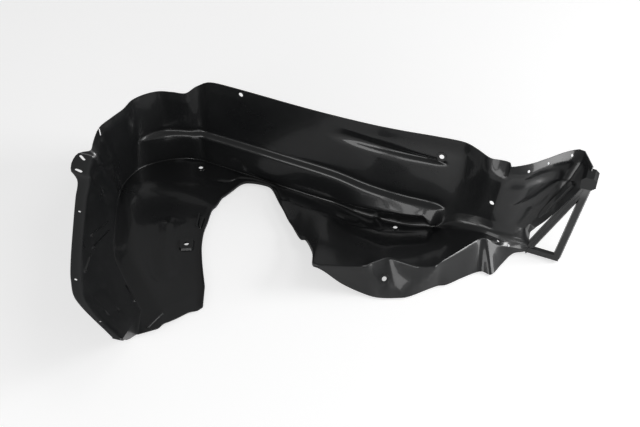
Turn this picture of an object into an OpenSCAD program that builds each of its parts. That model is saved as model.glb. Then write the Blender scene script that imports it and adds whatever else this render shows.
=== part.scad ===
// Front wheel arch splash shield, moulded as one thin plastic sheet.
// It lies on its inboard side: x runs forward along the car, y runs up the car,
// and z runs outboard, away from the surface it rests on.

/* [Sheet] */
// Wall thickness of the moulding
sheet_t = 2.5; // [1.5:0.1:4]

/* [Arch] */
// Straight length of the heel line behind the tyre
rear_run = 300; // [240:5:340]
// Radius of the heel line over the rear top corner
corner_r = 130; // [110:1:160]
// Fall of the arch ceiling towards the front, in degrees
ceiling_fall = 24.2; // [20:0.1:28]
// Straight length of the heel line from the corner to the front end
front_run = 731; // [700:1:780]

/* [Wall] */
// Height of the wall behind the tyre and round the corner
rear_wall_h = 180; // [150:1:200]
// Height of the wall along the ceiling
wall_h = 210; // [190:1:240]
// Height that the heel line climbs towards the front
heel_rise = 44; // [30:1:55]

/* [Front end] */
// Depth of the crescent cut into the front edge of the sheet
front_cut = 18; // [6:1:20]
// Width of the strip that stiffens the front edge
strip_w = 14; // [8:1:18]
// Height of that strip above the sheet
strip_h = 5; // [2:0.5:8]

/* [Pocket] */
// Depth of the wedge shaped pocket in the ceiling
pocket_d = 8; // [4:1:12]

/* [Band] */
// Height of the top edge of the raised band
band_top = 68; // [60:1:76]
// Distance that the band stands in from the wall
band_d = 16; // [8:1:22]
// Depth of the groove above the band
groove_d = 3; // [1:0.5:6]
// Height of the dark gap under the front of the band
band_gap = 30; // [20:1:34]

/* [Inner wall] */
// Height of the rim of the front leg
rim_h = 70; // [60:1:80]
// Depth of the bowl behind the axle cut-out
bowl_d = 10; // [4:1:11]
// Height of the lip round the axle cut-out
lip_h = 7; // [4:0.5:9]

/* [Holes] */
// Diameter of the push clip holes
clip_d = 10; // [7:0.5:12]
// Diameter of the screw holes
screw_d = 6; // [4:0.5:8]
// Width across a push clip pad
pad_w = 34; // [28:1:40]
// Height of a push clip pad above the sheet
pad_h = 1.5; // [0.8:0.1:3]

/* [Duct frame] */
// Drop of the frame's outboard corner below the top of the wall
frame_drop = 45; // [35:1:70]
// Width of the frame's bars
bar_w = 18; // [14:0.5:20]
// Depth of the frame's bars
bar_d = 12; // [8:0.5:16]
// Side of the block that joins the frame to the wall
block_w = 30; // [24:1:36]

/* [Ribs] */
// Width of the small stiffening ribs
rib_w = 8; // [5:0.5:10]
// Height of the small stiffening ribs above the sheet
rib_h = 3; // [1.5:0.5:5]

/* [Hidden] */
$fn = 48;

// Datum of the heel line, and its corner
rear_x = -432;
corner_y = 53.4;
corner_x = rear_x + corner_r;
corner_len = corner_r*(90 + ceiling_fall)*PI/180;
s_fold = -rear_run;
s_front = corner_len + front_run;
flange_run = 40;

// Interpolation along a table of [station, values...]
function slope_at(T, k, c) =
    let (lo = T[max(k - 1, 0)], hi = T[min(k + 1, len(T) - 1)])
    (hi[c] - lo[c])/(hi[0] - lo[0]);
function span_of(T, x, k = 0) = k >= len(T) - 2 || T[k + 1][0] >= x ? k : span_of(T, x, k + 1);
function track(T, x0, c) =
    let (x = min(max(x0, T[0][0]), T[len(T) - 1][0]), k = span_of(T, x),
         a = T[k], b = T[k + 1], h = b[0] - a[0], t = (x - a[0])/h, u = t*t, v = u*t)
    (2*v - 3*u + 1)*a[c] + (v - 2*u + t)*h*slope_at(T, k, c)
    + (3*u - 2*v)*b[c] + (v - u)*h*slope_at(T, k + 1, c);
function ease(a, b, x) = let (t = min(1, max(0, (x - a)/(b - a)))) t*t*(3 - 2*t);
function unit(v) = v/norm(v);
function mix(p, q, t) = p + (q - p)*t;

// Heel line: up behind the tyre, round the corner, then forward and down.
// s is the length along it from the start of the corner.
function heel_n(s) =
    s <= 0 ? [-1, 0]
    : s < corner_len ? let (th = 180 - s/corner_r*180/PI) [cos(th), sin(th)]
    : [sin(ceiling_fall), cos(ceiling_fall)];
function heel_p(s) =
    s <= 0 ? [rear_x, corner_y + s]
    : let (n = heel_n(s), d = max(0, s - corner_len))
      [corner_x, corner_y] + corner_r*n + d*[n[1], -n[0]];
// Point at station s, a outward from the heel line, z up
function at(s, a, z) = let (p = heel_p(s) + heel_n(s)*a) [p[0], p[1], z];

// Outboard edge: [station, shift along the heel line, flare, height]
outboard_edge = [
    [s_fold, -225, -83, rear_wall_h],
    [-250, -195, -9, rear_wall_h + 2],
    [-225, -177, 7, rear_wall_h + 3],
    [-200, -157, 15, rear_wall_h + 4],
    [-150, -115, 26, rear_wall_h + 4],
    [-100, -90, 34, rear_wall_h + 4],
    [-75, -70, 38, rear_wall_h + 4],
    [-52, -55, 58, rear_wall_h + 4],
    [-35, -35, 52, rear_wall_h + 4],
    [-10, -46, 27, rear_wall_h + 2],
    [8, -38, 25, rear_wall_h + 1],
    [20, -30, 24, rear_wall_h],
    [34, -18, 20, rear_wall_h],
    [50, -6, 8, rear_wall_h],
    [75, 4, 2, rear_wall_h],
    [100, 10, 11, rear_wall_h],
    [155, 6, 11, rear_wall_h],
    [195, -4, 2, rear_wall_h],
    [228, -6, -1, rear_wall_h],
    [248, -3, 13, mix(rear_wall_h, wall_h, 0.5)],
    [268, -2, 14, wall_h - 2],
    [300, 0, 17, wall_h],
    [500, 0, 19, wall_h],
    [620, 0, 25, wall_h],
    [692, 0, 33, wall_h],
    [774, 0, 46, wall_h],
    [820, 4, 51, wall_h],
    [845, 6, 42, wall_h],
    [874, 8, 28, wall_h],
    [896, 10, 32, wall_h],
    [907, 13, 32, wall_h],
    [913, 14, 20, wall_h],
    [930, 30, 45, wall_h],
    [950, 36, 74, wall_h],
    [968, 50, 112, wall_h],
    [s_front - 8, 62, 127, wall_h - 2],
    [s_front, 79, 94, wall_h - 7]];
// Fold of the fixing flange, from the edge: [station, outward, up]
flange_fold = [
    [s_fold, -16, -8],
    [-90, -19, -8],
    [-75, -22, -9],
    [-52, -36, -11],
    [-35, -30, -12],
    [-10, -14, -13],
    [50, -4, -16],
    [240, -3, -22],
    [700, -3, -24],
    [860, -6, -26],
    [896, -20, -28],
    [907, -24, -28],
    [913, -10, -26],
    [930, -20, -24],
    [950, -16, -18],
    [s_front - 8, -16, -16],
    [s_front, -18, -18]];
// Heel line at the two ends: [station, shift along it, outward]
heel_bend = [
    [s_fold, -30, -86],
    [-270, -14, -60],
    [-235, 0, -34],
    [-190, 0, -15],
    [-120, 0, -6],
    [-30, 0, 0],
    [560, 0, -6],
    [640, 0, -16],
    [720, 0, -14],
    [780, 0, -6],
    [905, 0, 0],
    [950, 0, 10],
    [s_front, 0, 22]];
// Height of the heel line: [station, height]
heel_level = [
    [s_fold, 14],
    [-200, 18],
    [-60, 14],
    [60, 4],
    [200, 0],
    [640, 0],
    [740, 2],
    [790, 0.3*heel_rise],
    [850, 0.9*heel_rise],
    [900, heel_rise + 2],
    [950, 32],
    [s_front, 14]];
// Width of the ledge inside the heel line: [station, width]
ledge = [
    [s_fold, 40],
    [-100, 30],
    [20, 10],
    [60, 40],
    [100, 52],
    [230, 60],
    [300, 60],
    [325, 42],
    [345, 26],
    [370, 18],
    [436, 18],
    [464, 44],
    [640, 44],
    [760, 20],
    [930, 15],
    [970, 8],
    [s_front, 6]];
// Axle cut-out, then the rim of the front leg: [station, forward of the rear wall, y, z]
inner_edge = [
    [s_fold, 202, -212, 4],
    [-230, 192, -150, 2],
    [-180, 187, -103, 2],
    [-130, 188, -63, 2],
    [-70, 194, -31, 2],
    [10, 200, 3, 2],
    [105, 210, 19, 3],
    [215, 220, 41, 4],
    [260, 230, 52, 4],
    [300, 242, 66, 4],
    [340, 258, 84, 4],
    [370, 274, 91, 4],
    [405, 305, 86, 4],
    [432, 328, 70, 6],
    [452, 345, 25, 10],
    [500, 377, -55, 20],
    [520, 392, -95, 30],
    [535, 403, -100, 32],
    [560, 417, -152, rim_h - 20],
    [588, 420, -206, rim_h],
    [610, 450, -212, rim_h],
    [665, 514, -214, rim_h],
    [700, 540, -201, rim_h],
    [725, 564, -191, rim_h],
    [745, 582, -197, rim_h],
    [775, 621, -214, rim_h],
    [805, 654, -214, rim_h],
    [825, 672, -198, rim_h - 2],
    [855, 718, -160, rim_h - 6],
    [885, 750, -132, rim_h - 10],
    [905, 766, -129, rim_h - 12],
    [930, 789, -130, 40],
    [950, 807, -124, 30],
    [970, 830, -120, 20],
    [s_front, 850, -118, 10]];
// Lower edge of the skirt: [station, forward of the rear wall, y, z]
s_skirt = 588;
skirt_edge = [
    [s_skirt, 424, -211, rim_h - 6],
    [610, 442, -212, 50],
    [640, 474, -215, 20],
    [665, 511, -224, 4],
    [695, 544, -234, 0],
    [735, 589, -235, 0],
    [770, 611, -230, 0],
    [815, 665, -204, 0],
    [830, 683, -201, 0],
    [860, 721, -180, 0],
    [885, 756, -165, 0],
    [905, 776, -174, 0],
    [925, 798, -148, 0],
    [960, 826, -117, 0],
    [s_front, 849, -113, 2]];
// Width of the bottom flange below each corner of the section
bottom_flange = [3, 2, 10, 15, 19, 30, 34, 36, 55, 56, 57, 44, 38, 42, 42, 50, 48, 46];

// Length of the bevel at each corner of the section, and points added after it
bevel = [0, 9, 0, 0, 0, 0, 0, 4, 4, 0, 0, 8, 0, 0, 0, 0, 5, 0];
fill = [0, 0, 0, 0, 1, 0, 0, 1, 0, 0, 1, 0, 1, 1, 0, 0, 1];

function band_on(s) = ease(80, 170, s)*(1 - ease(786, 812, s));
function pocket_on(s) = ease(520, 620, s)*(1 - ease(770, 800, s));
function lip_turn(s) = 90 - 125*ease(440, 520, s);

// Corners of the section at station s, from the outboard edge to the inner edge
function section(s) =
    let (ds = track(outboard_edge, s, 1), flare = track(outboard_edge, s, 2),
         edge_z = track(outboard_edge, s, 3), forward = ease(200, 300, s),
         fold_a = flare + track(flange_fold, s, 1), fold_z = edge_z + track(flange_fold, s, 2),
         hs = track(heel_bend, s, 1), ha = track(heel_bend, s, 2), hz = track(heel_level, s, 1),
         top = fold_z - hz, pocket = pocket_on(s),
         bz = band_top + hz*(1 - ease(0, 300, s)) - 10*ease(520, 780, s), lifted = ease(480, 740, s),
         band = band_on(s)*band_d*mix(0.6, 1, lifted), foot = mix(0.9, 0.3, lifted)*band,
         gap = mix(6, band_gap, lifted*(1 - ease(768, 796, s))),
         lip = lip_turn(s),
         low_z = mix(rear_wall_h - 50, wall_h - 60, forward),
         high_z = mix(rear_wall_h - 34, mix(wall_h - 24, wall_h - 50, ease(560, 800, s)), forward),
         ledge_p = at(s + hs, ha - track(ledge, s, 1), hz + 2),
         inner_p = [rear_x + track(inner_edge, s, 1), track(inner_edge, s, 2), track(inner_edge, s, 3)],
         across = inner_p - ledge_p, out = unit([across[0], across[1]]), e = min(0.25, 10/norm(across)),
         bowl = bowl_d*(1 - ease(-20, 120, s))*ease(s_fold, s_fold + 60, s),
         end_p = s < s_skirt ? inner_p + lip_h*[out[0]*cos(lip), out[1]*cos(lip), sin(lip)]
                 : [rear_x + track(skirt_edge, s, 1), track(skirt_edge, s, 2), track(skirt_edge, s, 3)])
    [at(s + ds, flare, edge_z),
     at(s + ds, fold_a, fold_z),
     wall_at(s, hs, ds, ha, fold_a, hz, top, high_z, 0),
     wall_at(s, hs, ds, ha, fold_a, hz, top, mix(low_z, high_z, 0.4), pocket_d*pocket),
     wall_at(s, hs, ds, ha, fold_a, hz, top, low_z, 0),
     wall_at(s, hs, ds, ha, fold_a, hz, top, bz + 18, 0),
     wall_at(s, hs, ds, ha, fold_a, hz, top, bz + mix(8, 4, lifted), groove_d*band/band_d),
     wall_at(s, hs, ds, ha, fold_a, hz, top, bz, -mix(1, 0.4, lifted)*band),
     wall_at(s, hs, ds, ha, fold_a, hz, top, hz + gap + 2, -band),
     wall_at(s, hs, ds, ha, fold_a, hz, top, hz + mix(0.7, 0.85, lifted)*gap, -foot),
     at(s + hs, ha - (1 - lifted)*foot*0.8, hz),
     ledge_p,
     mix(ledge_p, inner_p, e),
     mix(ledge_p, inner_p, 0.35) - [0, 0, 0.8*bowl],
     mix(ledge_p, inner_p, 0.70) - [0, 0, 0.5*bowl],
     mix(ledge_p, inner_p, 1 - e),
     inner_p,
     end_p];
// Share of the crescent's depth at a fraction t up the wall, full at one sixth
function low_bulge(t) = t*pow(1 - t, 5)*pow(6, 6)/pow(5, 5);
// Point on the wall between the heel and the flange fold at height h
function wall_at(s, hs, ds, ha, fold_a, hz, top, h, push) =
    let (t = (h - hz)/top, back = low_bulge(t)*front_cut*ease(s_front - 60, s_front, s))
    at(s + mix(hs, ds, t) - back, mix(ha, fold_a, t) + push, h);
// Section row, with the bottom flange as rows before the fold
function corners(s) =
    s >= s_fold ? section(s)
    : let (base = section(s_fold), k = (s_fold - s)/flange_run)
      [for (j = [0:len(base) - 1])
          base[j] - k*[0, bottom_flange[j], min(3, max(0, base[j][2] - 2))]];

// Row of sheet points: each corner bevelled, long stretches filled
function cut(P, j, k) = let (d = norm(P[k] - P[j])) mix(P[j], P[k], min(0.4, bevel[j]/d));
function row(s) =
    let (P = corners(s), n = len(P))
    [for (j = [0:n - 1])
        let (leave = bevel[j] == 0 ? P[j] : cut(P, j, j + 1),
             next = j == n - 1 ? P[j] : bevel[j + 1] == 0 ? P[j + 1] : cut(P, j + 1, j))
        each concat(bevel[j] == 0 ? [P[j]] : [cut(P, j, j - 1), leave],
                    j == n - 1 ? [] : [for (k = [1:1:fill[j]]) mix(leave, next, k/(fill[j] + 1))])];

// Stations of the rows: even along the sheet, closer at the folds and the band's end
row_step = 15.5;
stations = concat(
    [s_fold - flange_run, s_fold - 0.5*flange_run],
    [for (s = [s_fold:row_step:762]) s],
    [768, 775, 782, 788, 793, 799, 805, 812],
    [for (k = [1:13]) mix(812, s_front - 7, k/13)],
    [s_front]);
grid = [for (s = stations) row(s)];
rows = len(grid);
cols = len(grid[0]);

// Step from the skin to the back of the sheet at a grid point: the mean of the
// directions of the cells round it, lengthened at a fold to keep the thickness
function cell_away(i, j, di, dj) =
    di*dj*unit(cross(grid[i + di][j] - grid[i][j], grid[i][j + dj] - grid[i][j]));
function thicken(i, j) =
    let (around = [for (di = [i > 0 ? -1 : 1, i < rows - 1 ? 1 : -1],
                       dj = [j > 0 ? -1 : 1, j < cols - 1 ? 1 : -1]) cell_away(i, j, di, dj)],
         n = unit(around[0] + around[1] + around[2] + around[3]))
    sheet_t*n/max(0.5, min([for (c = around) n*c]));
skin = [for (i = [0:rows - 1]) each grid[i]];
back = [for (i = [0:rows - 1], j = [0:cols - 1]) grid[i][j] + thicken(i, j)];
all_points = concat(skin, back);
function idx(side, i, j) = side*rows*cols + i*cols + j;
function quad(a, b, c, d) = [[a, b, c], [a, c, d]];
function cell(side, i, j) =
    let (a = idx(side, i, j), b = idx(side, i + 1, j), c = idx(side, i + 1, j + 1), d = idx(side, i, j + 1))
    side == 0 ? quad(a, b, c, d) : quad(a, d, c, b);
// Strip of the rim between two neighbouring grid points
function rim(i, j, k, l) = quad(idx(0, i, j), idx(0, k, l), idx(1, k, l), idx(1, i, j));
sheet_faces = [
    for (side = [0, 1], i = [0:rows - 2], j = [0:cols - 2]) each cell(side, i, j),
    for (i = [0:rows - 2]) each rim(i + 1, 0, i, 0),
    for (i = [0:rows - 2]) each rim(i, cols - 1, i + 1, cols - 1),
    for (j = [0:cols - 2]) each rim(0, j, 0, j + 1),
    for (j = [0:cols - 2]) each rim(rows - 1, j + 1, rows - 1, j)];

// Point of the sheet at station s and section place w, corner number plus fraction
function spot(s, w) = let (P = corners(s), j = floor(w)) mix(P[j], P[j + 1], w - j);
function spot_away(s, w) =
    unit(cross(spot(s + 3, w) - spot(s - 3, w), spot(s, w + 0.05) - spot(s, w - 0.05)));

// Frame with z towards the tyre, from a point, the away direction and a direction along x
module seat(p, away_n, along) {
    z = -away_n;
    y = unit(cross(z, along));
    x = cross(y, z);
    multmatrix([[x[0], y[0], z[0], p[0]], [x[1], y[1], z[1], p[1]], [x[2], y[2], z[2], p[2]], [0, 0, 0, 1]])
        children();
}
module on_sheet(h) {
    seat(spot(h[0], h[1]), spot_away(h[0], h[1]), spot(h[0] + 3, h[1]) - spot(h[0] - 3, h[1])) children();
}

// Places of the holes: [station, section place]
plain_clips = [[342, 0.5], [898, 4.65]];
padded_clips = [[782, 1.7], [255, 10.45], [718, 10.55], [712, 16.5]];
square_pad_clip = [-165, 14.4];
flange_screws = [[-125, 0.5], [-222, 0.5], [-278, 0.5], [930, 0.5], [952, 0.5], [972, 0.5]];
leg_screws = [[932, 12.6], [956, 14.5]];
edge_slots = [[-54, 0.42], [-38, 0.42], [30, 0.45]];
slot_w = 7;
slot_l = 16;
through = 30;
pad_d = 24;
pad_t = sheet_t + 2*pad_h;

// Stiffening ribs: start and end on the sheet
ribs = [
    [[-130, 7.7], [-178, 4.2]],
    [[-108, 7.6], [-158, 3.2]],
    [[-188, 3.4], [-212, 1.6]],
    [[-334, 10.4], [-309, 11.5]],
    [[-19, 14.75], [-98, 14.8]],
    [[-43, 15.02], [-104, 15.05]]];
front_strip = [[s_front - 4, 2], [s_front - 7, 5.2]];

module stadium(l, w, h) {
    linear_extrude(h) {
        square([l, w], center = true);
        for (e = [-1, 1]) translate([e*l/2, 0]) circle(d = w);
    }
}
module rib(ends, w = rib_w, h = rib_h) {
    p = spot(ends[0][0], ends[0][1]);
    q = spot(ends[1][0], ends[1][1]);
    m = (ends[0] + ends[1])/2;
    seat((p + q)/2, spot_away(m[0], m[1]), q - p)
        translate([0, 0, -sheet_t/2]) stadium(norm(q - p) - w, w, h + sheet_t/2);
}
module clip_pad() {
    translate([0, 0, -sheet_t - pad_h]) cylinder(d = pad_d, h = pad_t);
}
module square_pad() {
    c = 5;
    e = pad_w/2;
    translate([0, 0, -sheet_t - pad_h]) linear_extrude(pad_t)
        polygon([for (k = [0:3], d = [[e - c, -e], [e, c - e]]) [cos(90*k)*d[0] - sin(90*k)*d[1],
                                                                 sin(90*k)*d[0] + cos(90*k)*d[1]]]);
}
module sheet() {
    polyhedron(points = all_points, faces = sheet_faces, convexity = 12);
}

// Frame of the front duct: three bars round an open triangle
duct_near = [rear_x + 856, -108, bar_d/2];
duct_far = duct_near + [56, -24, 0];
duct_top = duct_near + [104, 24, wall_h - frame_drop];
block_p = duct_top + [-3, -3, 10];
block_turn = 20;
duct_n = unit(cross(duct_far - duct_near, duct_top - duct_near));
duct_x = unit(duct_far - duct_near);
duct_y = cross(duct_n, duct_x);
far_corner = [norm(duct_far - duct_near), 0];
top_corner = [(duct_top - duct_near)*duct_x, (duct_top - duct_near)*duct_y];

module bar(p, q, w, d) {
    v = q - p;
    translate(p) rotate(atan2(v[1], v[0])) translate([0, -w/2, -d/2]) cube([norm(v), w, d]);
}
module duct_frame() {
    seat(duct_near, -duct_n, duct_x) {
        bar(far_corner, top_corner, 0.9*bar_w, bar_d);
        bar([-0.8*bar_w, 0], far_corner + [0.3*bar_w, 0], 0.8*bar_w, 0.9*bar_d);
        bar([0, 0], top_corner, bar_w, 0.5*bar_d);
        for (e = [-0.42*bar_w, 0.42*bar_w])
            translate([0, 0, 0.3*bar_d]) bar([0, e], top_corner + [0, e], 2.5, 6);
    }
    translate(block_p) corner_block();
}
module corner_block() {
    b = block_w/2;
    c = block_w/4;
    rotate([90, 0, -block_turn]) translate([0, 0, -b]) linear_extrude(block_w)
        polygon([[-b, -b], [b - c, -b], [b, c - b], [b, b - c], [b - c, b], [c - b, b], [-b, b - c]]);
}

// Bottom centre of the part, which is its origin
block_reach = block_w/2*(cos(block_turn) + sin(block_turn));
ends_of = concat(all_points, [block_p + [block_reach, 0, 0]]);
low = [for (k = [0:2]) min([for (p = ends_of) p[k]])];
high = [for (k = [0:2]) max([for (p = ends_of) p[k]])];
origin = [(low[0] + high[0])/2, (low[1] + high[1])/2, low[2]];

module splash_shield() {
    color("#1b1c1e") translate(-origin) difference() {
        union() {
            sheet();
            duct_frame();
            for (h = padded_clips) on_sheet(h) clip_pad();
            on_sheet(square_pad_clip) square_pad();
            for (r = ribs) rib(r);
            rib(front_strip, strip_w, strip_h);
        }
        for (h = concat(plain_clips, padded_clips, [square_pad_clip]))
            on_sheet(h) translate([0, 0, -through/2]) cylinder(d = clip_d, h = through);
        for (h = concat(flange_screws, leg_screws))
            on_sheet(h) translate([0, 0, -through/2]) cylinder(d = screw_d, h = through);
        for (h = edge_slots)
            on_sheet(h) rotate(60) translate([0, 0, -through/2]) stadium(slot_l - slot_w, slot_w, through);
    }
}

splash_shield();
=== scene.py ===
"""Looks of a wheel arch splash shield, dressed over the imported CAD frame."""
import logging
import math
from dataclasses import dataclass
from enum import Enum
from typing import Sequence

import bpy
import numpy as np
from mathutils import Matrix, Vector


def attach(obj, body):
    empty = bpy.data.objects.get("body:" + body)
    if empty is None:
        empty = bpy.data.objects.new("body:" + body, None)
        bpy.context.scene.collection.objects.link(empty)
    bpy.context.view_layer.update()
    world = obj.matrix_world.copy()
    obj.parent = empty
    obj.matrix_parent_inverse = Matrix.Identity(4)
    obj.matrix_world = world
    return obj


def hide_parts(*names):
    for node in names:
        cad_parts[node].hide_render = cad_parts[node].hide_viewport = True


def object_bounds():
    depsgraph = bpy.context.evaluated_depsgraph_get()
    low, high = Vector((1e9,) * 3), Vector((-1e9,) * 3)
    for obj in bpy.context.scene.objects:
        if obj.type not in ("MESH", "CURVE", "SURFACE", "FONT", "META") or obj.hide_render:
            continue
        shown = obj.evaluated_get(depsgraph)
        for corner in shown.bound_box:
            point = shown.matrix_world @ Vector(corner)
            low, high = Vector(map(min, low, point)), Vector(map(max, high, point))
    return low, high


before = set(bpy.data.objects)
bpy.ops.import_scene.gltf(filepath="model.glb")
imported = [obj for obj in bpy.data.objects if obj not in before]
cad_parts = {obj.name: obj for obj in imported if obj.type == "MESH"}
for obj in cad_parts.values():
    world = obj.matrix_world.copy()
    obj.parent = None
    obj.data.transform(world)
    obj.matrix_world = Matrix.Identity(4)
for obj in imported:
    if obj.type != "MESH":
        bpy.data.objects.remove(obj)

CAD_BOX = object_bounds()
LOG = logging.getLogger("splash_shield")
MM = 0.001
Vec = np.ndarray
# Station along the heel line and place on the section, or x and y of a flat outline
Place = tuple[float, float]
# Two stations between which a form grows or fades, or a value at the rear and at the front
Span = tuple[float, float]
Rows = Sequence[Sequence[float]]


def linear(hex_colour: str) -> tuple[float, float, float, float]:
    """Turn an sRGB hex colour into a linear RGBA value.

    Args:
        hex_colour: A colour such as "#1a1b1d".

    Returns:
        Red, green, blue and alpha in linear light.
    """
    parts = [int(hex_colour[k:k + 2], 16)/255 for k in (1, 3, 5)]
    red, green, blue = (p/12.92 if p <= 0.04045 else ((p + 0.055)/1.055)**2.4 for p in parts)
    return red, green, blue, 1.0


def add_node(tree: bpy.types.NodeTree, kind: str, settings: dict | None = None,
             links: dict | None = None) -> bpy.types.Node:
    """Add a node with its settings and incoming links.

    Args:
        tree: Node tree that gets the node.
        kind: Blender's identifier of the node type.
        settings: Socket names or attribute names with their values.
        links: Input socket names with the output sockets that feed them.

    Returns:
        The new node.
    """
    node = tree.nodes.new(kind)
    for name, value in (settings or {}).items():
        if name in node.inputs:
            node.inputs[name].default_value = value
        else:
            setattr(node, name, value)
    for name, source in (links or {}).items():
        tree.links.new(source, node.inputs[name])
    return node


def unit(v: Vec) -> Vec:
    """Return a vector scaled to length 1."""
    return v/np.linalg.norm(v)


def mix(p: float | Vec, q: float | Vec, t: float) -> float | Vec:
    """Return the value a fraction t of the way from p to q."""
    return p + (q - p)*t


def ease(a: float, b: float, x: float) -> float:
    """Rise smoothly from 0 at a to 1 at b."""
    t = min(1.0, max(0.0, (x - a)/(b - a)))
    return t*t*(3 - 2*t)


def low_bulge(t: float) -> float:
    """Return the crescent's share of its depth at a fraction t up the wall."""
    return t*(1 - t)**5*6**6/5**5


@dataclass(frozen=True)
class Track:
    """A table of [station, values...] read with smooth steps between its rows."""
    table: Rows

    def slope(self, k: int, column: int) -> float:
        """Return the slope of a column at row k."""
        low, high = self.table[max(k - 1, 0)], self.table[min(k + 1, len(self.table) - 1)]
        return (high[column] - low[column])/(high[0] - low[0])

    def at(self, station: float, column: int = 1) -> float:
        """Read a column at a station.

        Args:
            station: Length along the heel line, in mm.
            column: Column of the table.

        Returns:
            The value of a cubic through the table's rows.
        """
        rows = self.table
        x = min(max(station, rows[0][0]), rows[-1][0])
        k = 0
        while k < len(rows) - 2 and rows[k + 1][0] < x:
            k += 1
        a, b = rows[k], rows[k + 1]
        h = b[0] - a[0]
        t = (x - a[0])/h
        u, v = t*t, t**3
        return ((2*v - 3*u + 1)*a[column] + (v - 2*u + t)*h*self.slope(k, column)
                + (3*u - 2*v)*b[column] + (v - u)*h*self.slope(k + 1, column))


# Sizes of the sheet, in mm, and the ceiling's fall, in degrees
SHEET_T = 2.5
REAR_RUN = 300.0
CORNER_R = 130.0
CEILING_FALL = 24.2
FRONT_RUN = 731.0
REAR_WALL_H = 180.0
WALL_H = 210.0
HEEL_RISE = 44.0
FRONT_CUT = 18.0
POCKET_D = 8.0
BAND_TOP = 68.0
BAND_D = 16.0
GROOVE_D = 3.0
BAND_GAP = 30.0
RIM_H = 70.0
BOWL_D = 10.0
LIP_H = 7.0
FLANGE_RUN = 40.0
REAR_X = -432.0
CORNER_Y = 53.4
# Places that follow from them: the corner's centre and the stations of the folds
DATUM = np.array([REAR_X, 0.0, 0.0])
CORNER_X = REAR_X + CORNER_R
CORNER_LEN = CORNER_R*math.radians(90 + CEILING_FALL)
S_FOLD = -REAR_RUN
S_FRONT = CORNER_LEN + FRONT_RUN
S_SKIRT = 588.0
# Bottom centre of the part in the source frame, which is the row's origin, in mm
SOURCE_ORIGIN = np.array([26.746, -141.996, -4.022])

# Outboard edge: station, shift along the heel line, flare, height
OUTBOARD_EDGE = Track((
    (S_FOLD, -225, -83, REAR_WALL_H), (-250, -195, -9, REAR_WALL_H + 2),
    (-225, -177, 7, REAR_WALL_H + 3),
    (-200, -157, 15, REAR_WALL_H + 4), (-150, -115, 26, REAR_WALL_H + 4), (-100, -90, 34, REAR_WALL_H + 4),
    (-75, -70, 38, REAR_WALL_H + 4), (-52, -55, 58, REAR_WALL_H + 4), (-35, -35, 52, REAR_WALL_H + 4),
    (-10, -46, 27, REAR_WALL_H + 2), (8, -38, 25, REAR_WALL_H + 1), (20, -30, 24, REAR_WALL_H),
    (34, -18, 20, REAR_WALL_H), (50, -6, 8, REAR_WALL_H), (75, 4, 2, REAR_WALL_H),
    (100, 10, 11, REAR_WALL_H), (155, 6, 11, REAR_WALL_H), (195, -4, 2, REAR_WALL_H),
    (228, -6, -1, REAR_WALL_H), (248, -3, 13, 0.5*(REAR_WALL_H + WALL_H)), (268, -2, 14, WALL_H - 2),
    (300, 0, 17, WALL_H), (500, 0, 19, WALL_H), (620, 0, 25, WALL_H), (692, 0, 33, WALL_H),
    (774, 0, 46, WALL_H), (820, 4, 51, WALL_H), (845, 6, 42, WALL_H), (874, 8, 28, WALL_H),
    (896, 10, 32, WALL_H), (907, 13, 32, WALL_H), (913, 14, 20, WALL_H), (930, 30, 45, WALL_H),
    (950, 36, 74, WALL_H), (968, 50, 112, WALL_H), (S_FRONT - 8, 62, 127, WALL_H - 2),
    (S_FRONT, 79, 94, WALL_H - 7)))
# Fold of the fixing flange, from the edge: station, outward, up
FLANGE_FOLD = Track((
    (S_FOLD, -16, -8), (-90, -19, -8), (-75, -22, -9), (-52, -36, -11), (-35, -30, -12),
    (-10, -14, -13), (50, -4, -16), (240, -3, -22), (700, -3, -24), (860, -6, -26), (896, -20, -28),
    (907, -24, -28), (913, -10, -26), (930, -20, -24), (950, -16, -18), (S_FRONT - 8, -16, -16),
    (S_FRONT, -18, -18)))
# Heel line at the two ends: station, shift along it, outward
HEEL_BEND = Track((
    (S_FOLD, -30, -86), (-270, -14, -60), (-235, 0, -34), (-190, 0, -15), (-120, 0, -6), (-30, 0, 0),
    (560, 0, -6), (640, 0, -16), (720, 0, -14), (780, 0, -6), (905, 0, 0), (950, 0, 10), (S_FRONT, 0, 22)))
# Height of the heel line: station, height
HEEL_LEVEL = Track((
    (S_FOLD, 14), (-200, 18), (-60, 14), (60, 4), (200, 0), (640, 0), (740, 2), (790, 0.3*HEEL_RISE),
    (850, 0.9*HEEL_RISE), (900, HEEL_RISE + 2), (950, 32), (S_FRONT, 14)))
# Width of the ledge inside the heel line: station, width
LEDGE = Track((
    (S_FOLD, 40), (-100, 30), (20, 10), (60, 40), (100, 52), (230, 60), (300, 60), (325, 42), (345, 26),
    (370, 18), (436, 18), (464, 44), (640, 44), (760, 20), (930, 15), (970, 8), (S_FRONT, 6)))
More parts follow.
